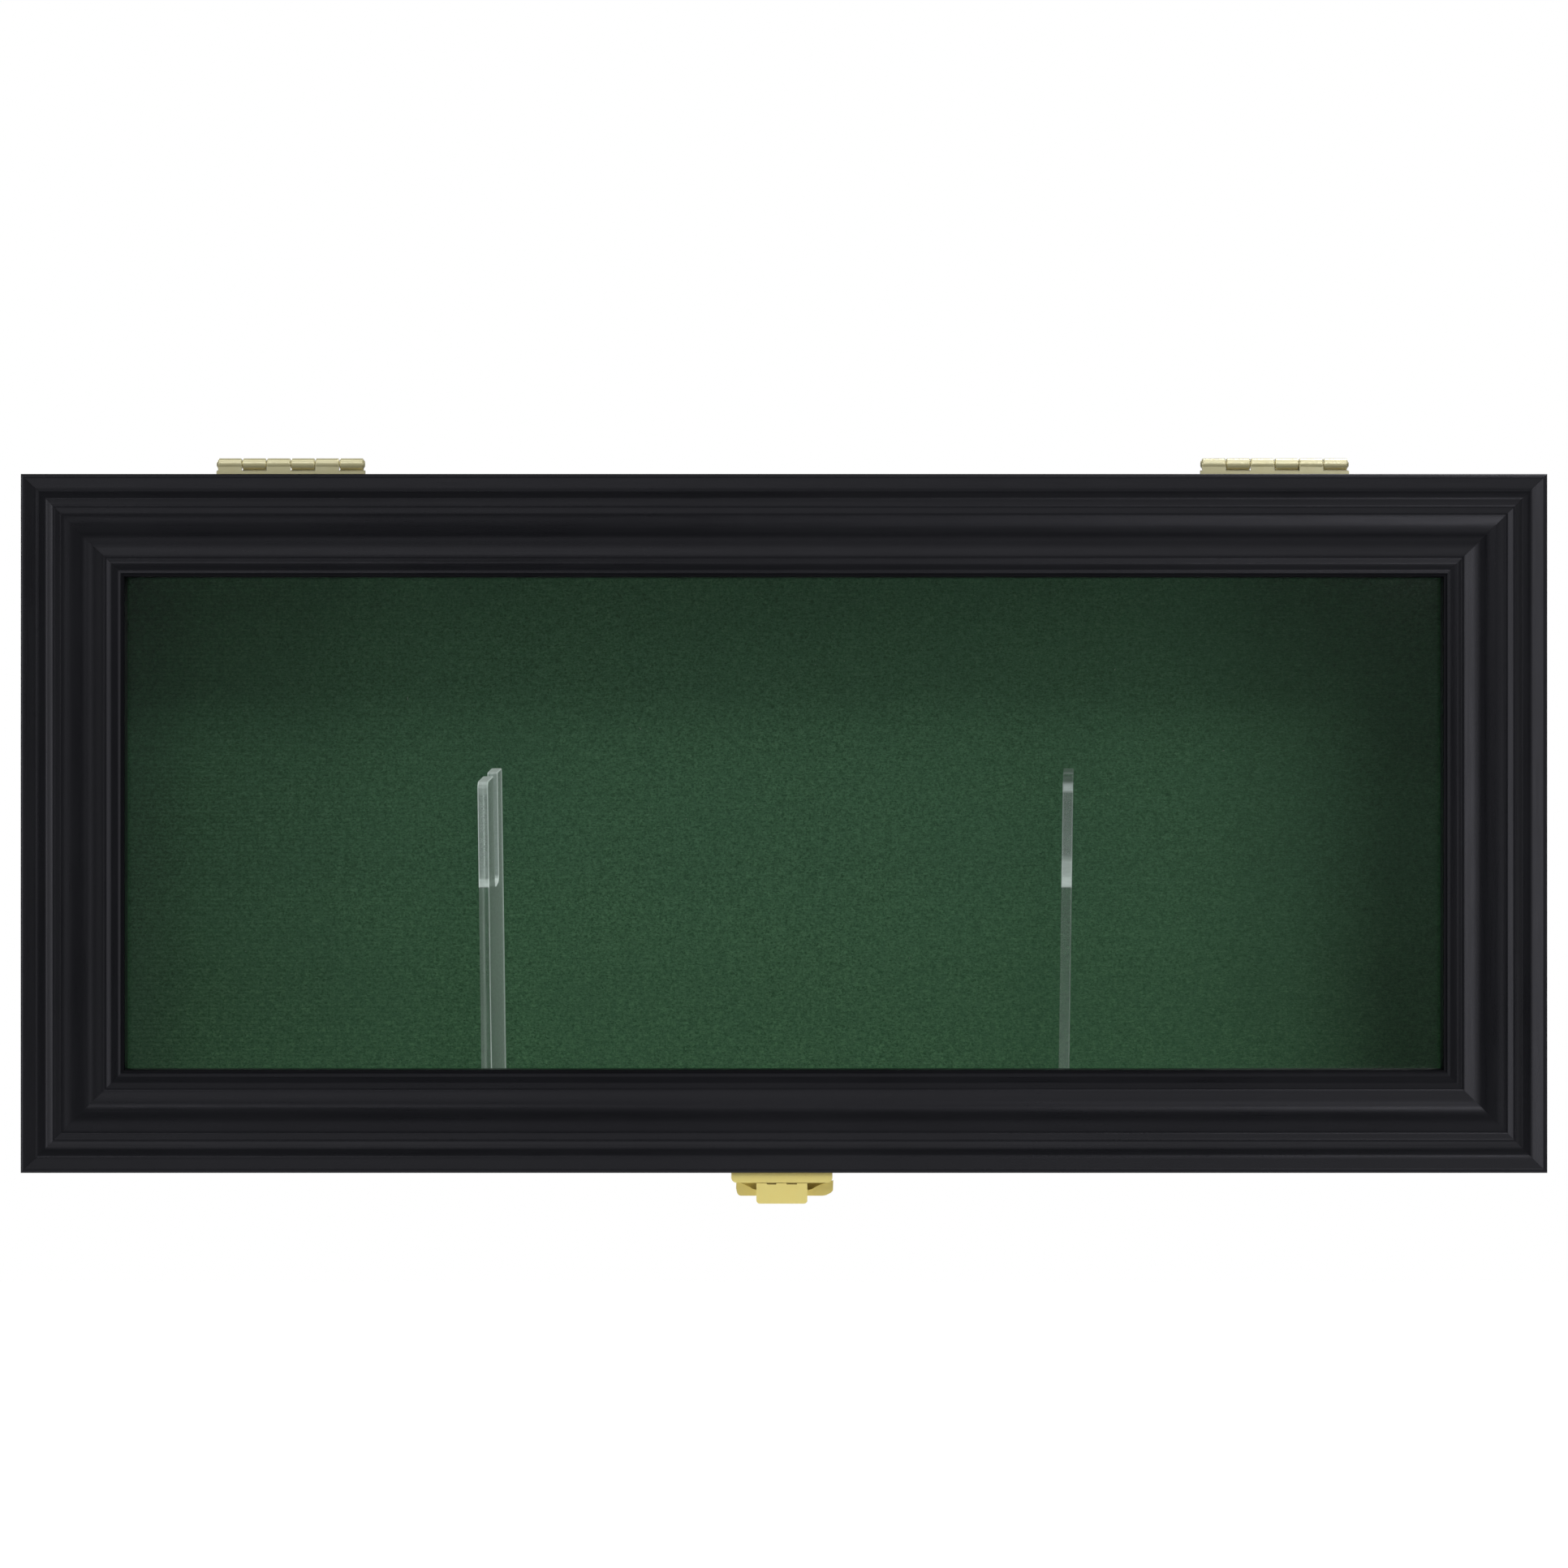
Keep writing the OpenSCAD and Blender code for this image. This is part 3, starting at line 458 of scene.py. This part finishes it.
STAND_FRONT, STAND_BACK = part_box("stand_left")[0][1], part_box("stand_left")[1][1]
STAND_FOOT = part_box("felt_bottom")[1][2]
STAND_TOP = max(p.co.z for p in nodes["stand_left"].data.vertices if p.co.y < STAND_FRONT + 0.001)
NOTCH_Z = min(p.co.z for p in nodes["stand_left"].data.vertices if STAND_FRONT + 0.008 < p.co.y < STAND_FRONT + 0.028 and p.co.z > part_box("felt_bottom")[1][2] + 0.02)
SPEC = 0.285
SIGHT_X, SIGHT_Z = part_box("door_right_stile")[0][0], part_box("door_top_rail")[0][2] - MID_Z
FELT_DARK, FELT_LIGHT = (0.032, 0.104, 0.045), (0.128, 0.310, 0.158)
FELT_PALE, FELT_DEEP, FELT_COOL = (0.175, 0.390, 0.215), (0.036, 0.108, 0.050), (0.064, 0.182, 0.102)
LAC_X = lacquer("black_lacquer_x", "x")
LAC_Z = lacquer("black_lacquer_z", "z")
FELT_BACK = felt_material("green_felt_back", "Z", True)
FELT_FLOOR = felt_material("green_felt_floor", "Y")
FELT_SIDE = felt_material("green_felt_side", "Z")
PALE_BRASS = brass_material("pale_brass", (1.0, 0.93, 0.54), (0.92, 0.82, 0.42), (0.17, 0.25), 0.30, 0.6, 1.0, 0.55)
LATCH_BRASS = brass_material("latch_brass", (1.0, 0.85, 0.285), (0.99, 0.79, 0.225), (0.34, 0.46), 0.06, 0.45, 0.4, 0.75)
STEEL = steel_material("zinc_steel")
BOARD = board_material("fibreboard")
PANE = pane_material("pane_glass")
ACRYLIC_LEFT = acrylic_material("clear_acrylic_left", (0.03, 0.27), (0.44, 0.0030), 0.0024, 0.70, 0.27, 0.36, 0.26, 0.30, 0.30, stand_side("stand_left"))
ACRYLIC_RIGHT = acrylic_material("clear_acrylic_right", (0.10, 0.17), (1.0, 0.0024), 0.0083, 0.30, 0.0, 0.34, 0.0, 0.0, 0.0, stand_side("stand_right"))


def give(names, mat):
    for n in names:
        o = nodes[n]
        if not o.material_slots:
            o.data.materials.append(mat)
        for s in o.material_slots:
            s.material = mat


give(["door_top_rail", "door_bottom_rail", "pane_stop_top", "pane_stop_bottom", "case_top_board", "case_bottom_board"], LAC_X)
give(["door_left_stile", "door_right_stile", "pane_stop_left", "pane_stop_right", "case_left_board", "case_right_board"], LAC_Z)
give([n for n in nodes if n.startswith("hinge_")], PALE_BRASS)
give([n for n in nodes if n.startswith("latch_")], LATCH_BRASS)
give(["pane_stop_brads", "door_v_nails", "case_corner_brads", "back_board_screws", "keyhole_plate_left", "keyhole_plate_right", "keyhole_screws"], STEEL)
give(["back_board", "backing_pad"], BOARD)
give(["door_pane"], PANE)
give(["stand_left"], ACRYLIC_LEFT)
give(["stand_right"], ACRYLIC_RIGHT)


# ---------------------------------------------------------------- eased edges and smooth curves on the CAD pieces
def soften(name, width, segments=2, angle=32, flat=1.0, smooth=True):
    """Joins the faces of a CAD piece, eases its sharp edges by width and shades its curved faces smoothly, or all its
    faces flat when smooth is False.
    """
    o = nodes[name]
    if smooth:
        o.data.shade_smooth()
    else:
        o.data.shade_flat()
    weld = o.modifiers.new("joined_faces", "WELD")
    weld.merge_threshold = 0.000002
    plane = o.modifiers.new("whole_planes", "DECIMATE")
    plane.decimate_type = "DISSOLVE"
    plane.angle_limit = math.radians(flat)
    ease = o.modifiers.new("eased_edges", "BEVEL")
    ease.width = width
    ease.segments = segments
    ease.limit_method = "ANGLE"
    ease.angle_limit = math.radians(angle)
    ease.use_clamp_overlap = True
    ease.miter_outer = "MITER_ARC"
    if not smooth:
        return
    norm = o.modifiers.new("even_shading", "WEIGHTED_NORMAL")
    norm.mode = "FACE_AREA"
    norm.keep_sharp = True


for n in ("case_top_board", "case_bottom_board", "case_left_board", "case_right_board"):
    soften(n, 0.00035)
for n in ("door_top_rail", "door_bottom_rail", "door_left_stile", "door_right_stile"):
    soften(n, 0.00006, 1, 50, 0.2)
for n in ("pane_stop_top", "pane_stop_bottom", "pane_stop_left", "pane_stop_right"):
    soften(n, 0.0003)
for n in ("stand_left", "stand_right"):
    soften(n, 0.00022, 2, 40, 0.2, False)
for n in ("latch_lever", "latch_strike_plate", "latch_base"):
    soften(n, 0.00018)
for n in ("hinge_left_door_leaf", "hinge_right_door_leaf", "hinge_left_case_leaf", "hinge_right_case_leaf"):
    soften(n, 0.00008, 2, 32, 0.15, n != "hinge_left_case_leaf")
for n in ("keyhole_plate_left", "keyhole_plate_right"):
    soften(n, 0.00012)
soften("back_board", 0.0004)


# ---------------------------------------------------------------- the felt lining
def ripple(a, b, seed):
    """Slow unevenness of a glued sheet, -1 to 1."""
    return (noise.noise(Vector((a * 22 + seed, b * 22, seed * 1.7))) * 0.7
            + noise.noise(Vector((a * 75, b * 75 + seed, seed * 0.6))) * 0.3)


def felt_sheet(name, node, u, v, out, mat, slits=(), pitch=0.0022, uneven=0.00016):
    """A cut sheet of felt in the place of its CAD solid: an uneven outer face, rolled cut edges and a flat glued face.
    u and v are the axes that the sheet spreads along, out is the axis it is thick along, with its sign."""
    lo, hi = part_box(node)
    w = 3 - u - v
    thick = hi[w] - lo[w]
    near, sign = (lo[w], 1) if out > 0 else (hi[w], -1)

    def lines(a, b):
        ease = [0.0, 0.00012, 0.0003, 0.0006, 0.0011]
        inner = max(2, int((b - a - 0.0022) / pitch))
        mid = [a + 0.0011 + (b - a - 0.0022) * i / inner for i in range(inner + 1)]
        return [a + e for e in ease[:-1]] + mid + [b - e for e in reversed(ease[:-1])]

    bm = bmesh.new()
    us, vs = lines(lo[u], hi[u]), lines(lo[v], hi[v])
    grid = [[None] * len(vs) for _ in us]
    for i, a in enumerate(us):
        for j, b in enumerate(vs):
            p = [0.0, 0.0, 0.0]
            p[u], p[v], p[w] = a, b, near
            grid[i][j] = bm.verts.new(p)
    for i in range(len(us) - 1):
        for j in range(len(vs) - 1):
            bm.faces.new((grid[i][j], grid[i + 1][j], grid[i + 1][j + 1], grid[i][j + 1]))
    # slits for the stands: four cuts round each, then the faces inside go
    for centre, half, turn in slits:
        c = Vector(centre)
        ax = [Vector((math.cos(turn), math.sin(turn), 0)), Vector((-math.sin(turn), math.cos(turn), 0))]
        for k in (0, 1):
            for s in (-1, 1):
                close = [f for f in bm.faces if (f.calc_center_median() - c).length < half[1] + 0.004]
                geo = list({e for f in close for e in f.edges}) + list({q for f in close for q in f.verts}) + close
                at = c + ax[k] * half[k] * s
                bmesh.ops.bisect_plane(bm, geom=geo, plane_co=(at.x, at.y, near), plane_no=ax[k], dist=1e-7)
        inside = []
        for f in bm.faces:
            d = f.calc_center_median() - c
            if abs(d.dot(ax[0])) < half[0] and abs(d.dot(ax[1])) < half[1]:
                inside.append(f)
        bmesh.ops.delete(bm, geom=inside, context="FACES")
    bm.normal_update()
    wanted = Vector([sign if k == w else 0 for k in range(3)])
    if bm.faces[:][0].normal.dot(wanted) < 0:
        bmesh.ops.reverse_faces(bm, faces=bm.faces[:])
    # the glued face is a copy, and walls join the two along every open edge
    outer = list(bm.verts)
    faces = list(bm.faces)
    rim = [e for e in bm.edges if e.is_boundary]
    twin = {q: bm.verts.new(q.co) for q in outer}
    for f in faces:
        bm.faces.new([twin[q] for q in reversed(f.verts)])
    for e in rim:
        a, b = e.link_loops[0].vert, e.link_loops[0].link_loop_next.vert
        bm.faces.new((b, a, twin[a], twin[b]))
    cuts = [(Vector(c0), h0, t0) for c0, h0, t0 in slits]
    seed = len(name) * 1.37 + thick * 900
    for q in outer:
        a, b = q.co[u], q.co[v]
        d = min(a - lo[u], hi[u] - a, b - lo[v], hi[v] - b)
        for c, half, turn in cuts:
            dx, dy = q.co.x - c.x, q.co.y - c.y
            fu = abs(dx * math.cos(turn) + dy * math.sin(turn)) - half[0]
            fv = abs(-dx * math.sin(turn) + dy * math.cos(turn)) - half[1]
            d = min(d, max(fu, fv, 0.0) if max(fu, fv) < 0.002 else d)
        r = 0.00055
        roll = thick * 0.55 * (1 - math.sqrt(max(0.0, 1 - (1 - min(d, r) / r) ** 2)))
        fade = min(1.0, d / 0.006)
        h = thick - roll - uneven * fade * (0.5 + 0.5 * ripple(a, b, seed))
        q.co[w] = near + sign * h
    bmesh.ops.recalc_face_normals(bm, faces=bm.faces)
    me = bpy.data.meshes.new(name)
    bm.to_mesh(me)
    bm.free()
    me.shade_smooth()
    me.materials.append(mat)
    o = bpy.data.objects.new(name, me)
    bpy.context.scene.collection.objects.link(o)
    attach(o, "case")
    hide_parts(node)
    return o


def stand_foot(name):
    """Where a stand goes through the floor felt: its middle."""
    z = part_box("felt_bottom")[1][2] + 0.00002
    pts = [p.co for p in nodes[name].data.vertices if p.co.z < z]
    mid = sum(pts, Vector()) / len(pts)
    lo_x, hi_x = min(p.x for p in pts), max(p.x for p in pts)
    lo_y, hi_y = min(p.y for p in pts), max(p.y for p in pts)
    return Vector(((lo_x + hi_x) / 2, (lo_y + hi_y) / 2, mid.z))


slits = []
for n, s in (("stand_left", -1), ("stand_right", 1)):
    foot = stand_foot(n)
    slits.append(((foot.x + s * 0.00004, foot.y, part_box("felt_bottom")[0][2]), (0.00135, 0.01906), YAW))
felt_sheet("felt_back_sheet", "felt_back", 0, 2, -1, FELT_BACK)
felt_sheet("felt_top_sheet", "felt_top", 0, 1, -1, FELT_FLOOR)
felt_sheet("felt_floor_sheet", "felt_bottom", 0, 1, 1, FELT_FLOOR, slits)
felt_sheet("felt_left_sheet", "felt_left", 1, 2, 1, FELT_SIDE)
felt_sheet("felt_right_sheet", "felt_right", 1, 2, -1, FELT_SIDE)


# ---------------------------------------------------------------- lint on the felt
def lint_material(name):
    m = Mat(name)
    p = m.principled(Roughness=0.9)
    m.link(m.mix(m.remap(m.noise(m.coords(), 3000, 2), 0, 1, 0.35, 0.65), (0.42, 0.48, 0.42), (0.66, 0.70, 0.64)), p.inputs["Base Color"])
    m.surface(p.outputs["BSDF"])
    return m.mat


def lint(name, spots, mat):
    """Short curled fibres lying on the back felt: each is a thin tube of five sides."""
    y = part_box("felt_back")[0][1]
    bm = bmesh.new()
    for x, z, length, curl in spots:
        turn = rng.uniform(0, math.pi)
        steps, r = 7, 0.000045
        rings = []
        px, pz, head = x, z, turn
        for i in range(steps + 1):
            if i:
                head += curl / steps
                px += math.cos(head) * length / steps
                pz += math.sin(head) * length / steps
            t = i / steps
            rr = r * (0.35 + 0.65 * math.sin(math.pi * min(1, max(0, t * 0.9 + 0.05))))
            py = y - 0.00006 - 0.00018 * math.sin(math.pi * t)
            side = Vector((-math.sin(head), 0, math.cos(head)))
            rings.append([bm.verts.new(Vector((px, py, pz)) + side * math.cos(a) * rr + Vector((0, 1, 0)) * math.sin(a) * rr)
                          for a in (k * 2 * math.pi / 5 for k in range(5))])
        for r0, r1 in zip(rings, rings[1:]):
            for k in range(5):
                bm.faces.new((r0[k], r0[(k + 1) % 5], r1[(k + 1) % 5], r1[k]))
        bm.faces.new(list(reversed(rings[0])))
        bm.faces.new(rings[-1])
    bmesh.ops.recalc_face_normals(bm, faces=bm.faces)
    me = bpy.data.meshes.new(name)
    bm.to_mesh(me)
    bm.free()
    me.shade_smooth()
    me.materials.append(mat)
    o = bpy.data.objects.new(name, me)
    bpy.context.scene.collection.objects.link(o)
    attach(o, "case")
    return o


def on_felt(px, py):
    """The place on the back felt that a pixel of the 1932 pixel frame looks at, as x and z."""
    k = 0.36546 / 1932 * (CAM_L + (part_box("felt_back")[0][1] - DOOR_FRONT)) / CAM_L
    return (px - 966) * k, MID_Z + 0.0092 - (py - 966) * k


CAM_L = 1.5
spots = []
for px, py, size in ((503, 863, 0.9), (787, 897, 0.8), (1509, 925, 0.7), (1374, 826, 0.5), (395, 1282, 0.5), (485, 1306, 0.4), (930, 992, 0.4),
                     (845, 1010, 0.35), (1120, 1180, 0.3), (640, 1215, 0.35)):
    x, z = on_felt(px, py)
    spots.append((x, z, size * 0.001, rng.uniform(-2.2, 2.2)))
for _ in range(26):
    spots.append((rng.uniform(-0.15, 0.15), rng.uniform(-0.105, 0.0), rng.uniform(0.00015, 0.0003), rng.uniform(-2, 2)))
lint("felt_lint", spots, lint_material("lint"))


# ---------------------------------------------------------------- stage, light and camera
def softbox(name, at, aim, size, watts, color=(1, 1, 1)):
    d = bpy.data.lights.new(name, "AREA")
    d.shape = "RECTANGLE"
    d.size, d.size_y = size
    d.energy = watts
    d.color = color
    o = bpy.data.objects.new(name, d)
    bpy.context.scene.collection.objects.link(o)
    o.location = at
    o.rotation_mode = "QUATERNION"
    o.rotation_quaternion = (Vector(aim) - Vector(at)).to_track_quat("-Z", "Y")
    o.visible_camera = False
    return o


centre = Vector((0, DOOR_FRONT, MID_Z))
LIGHTS = {
    "left_far": ((-1.65, -0.45, 0.0), (0.8, 1.5), 4.15),
    "left_mid": ((-1.50, -0.95, 0.0), (0.5, 1.4), 5.2),
    "left_front": ((-1.10, -1.35, 0.05), (0.4, 1.2), 1.6),
    "right_far": ((1.65, -0.45, 0.0), (0.8, 1.5), 2.6),
    "right_front": ((1.10, -1.35, 0.05), (0.4, 1.2), 1.85),
    "top_far": ((0.0, -0.40, 1.50), (1.8, 0.6), 2.95),
    "top_mid": ((0.0, -0.90, 1.35), (1.6, 0.4), 1.2),
    "top_high": ((0.45, -1.20, 1.25), (0.6, 0.4), 1.6),
    "top_front": ((-0.45, -1.45, 1.0), (0.6, 0.3), 1.5),
    "top_low": ((0.55, -1.60, 0.75), (0.5, 0.3), 4.15),
    "low_under": ((0.0, -0.16, -0.47), (1.6, 0.22), 0.7),
    "low_front": ((0.0, -0.90, -0.46), (1.6, 0.30), 0.4),
    "rim_right": ((0.24, 0.12, 0.55), (0.30, 0.15), 1.3),
    "fill_left": ((-0.55, -1.95, 0.35), (0.5, 0.4), 0.3),
    "fill_right": ((0.55, -1.95, 0.35), (0.5, 0.4), 0.9),
    "back_left": ((-0.9, 1.5, 0.35), (0.8, 0.6), 7.0),
    "back_right": ((0.9, 1.5, 0.20), (0.8, 0.6), 5.0),
}
for key, (off, size, watts) in LIGHTS.items():
    softbox("box_" + key, centre + Vector(off), centre, size, watts)

world = bpy.data.worlds.new("studio")
bpy.context.scene.world = world
world.use_nodes = True
wt = world.node_tree
wt.nodes.clear()
w_out = wt.nodes.new("ShaderNodeOutputWorld")
w_mix = wt.nodes.new("ShaderNodeMixShader")
w_path = wt.nodes.new("ShaderNodeLightPath")
w_seen = wt.nodes.new("ShaderNodeBackground")
w_seen.inputs["Color"].default_value = (1, 1, 1, 1)
w_seen.inputs["Strength"].default_value = 1.0
w_light = wt.nodes.new("ShaderNodeBackground")
w_light.name = "ambient"
w_light.inputs["Color"].default_value = (0.92, 0.96, 1.0, 1)
w_light.inputs["Strength"].default_value = 0.11
wt.links.new(w_path.outputs["Is Camera Ray"], w_mix.inputs[0])
wt.links.new(w_light.outputs[0], w_mix.inputs[1])
wt.links.new(w_seen.outputs[0], w_mix.inputs[2])
wt.links.new(w_mix.outputs[0], w_out.inputs["Surface"])

fm = Mat("stage_floor")
fp = fm.principled(Roughness=0.9)
fm.link(fm.ramp(fm.noise(fm.coords(), 3, 3), [(0.3, (0.80, 0.80, 0.80)), (0.7, (0.84, 0.84, 0.84))]), fp.inputs["Base Color"])
lit = fm.node("ShaderNodeEmission")                              # evens out the little light that reaches the floor
lit.inputs["Color"].default_value = (1, 1, 1, 1)
reach = fm.node("ShaderNodeVectorMath", operation="LENGTH")
fm.link(fm.coords(), reach.inputs[0])
fm.link(fm.remap(reach.outputs["Value"], 0.55, 1.0, 0.5, 1.6), lit.inputs["Strength"])
both = fm.node("ShaderNodeAddShader")
fm.link(fp.outputs["BSDF"], both.inputs[0])
fm.link(lit.outputs[0], both.inputs[1])
direct = fm.node("ShaderNodeLightPath")
seen = fm.node("ShaderNodeMixShader")
fm.link(direct.outputs["Is Camera Ray"], seen.inputs[0])
fm.link(fp.outputs["BSDF"], seen.inputs[1])
fm.link(both.outputs[0], seen.inputs[2])
under = fm.node("ShaderNodeBsdfTransparent")                     # from below, the floor doesn't hide the case
side_of = fm.node("ShaderNodeNewGeometry")
from_above = fm.node("ShaderNodeMixShader")
fm.link(side_of.outputs["Backfacing"], from_above.inputs[0])
fm.link(seen.outputs[0], from_above.inputs[1])
fm.link(under.outputs[0], from_above.inputs[2])
fm.surface(from_above.outputs[0])
me = bpy.data.meshes.new("floor")
me.from_pydata([(-5, -5, 0), (5, -5, 0), (5, 5, 0), (-5, 5, 0)], [], [(0, 1, 2, 3)])
floor = bpy.data.objects.new("floor", me)
floor.location = (0, 0, CASE_LOW - 0.42)
me.materials.append(fm.mat)
bpy.context.scene.collection.objects.link(floor)

cam_d = bpy.data.cameras.new("camera")
cam_d.sensor_width = 36.0
cam_d.lens = 36.0 * CAM_L / 0.36546
cam = bpy.data.objects.new("camera", cam_d)
bpy.context.scene.collection.objects.link(cam)
cam.location = (0.0, DOOR_FRONT - CAM_L, MID_Z + 0.0092)
cam.rotation_euler = (math.radians(90), 0, 0)
cam_d.clip_start, cam_d.clip_end = 0.05, 20
bpy.context.scene.camera = cam
bpy.context.scene.view_settings.view_transform = "Standard"
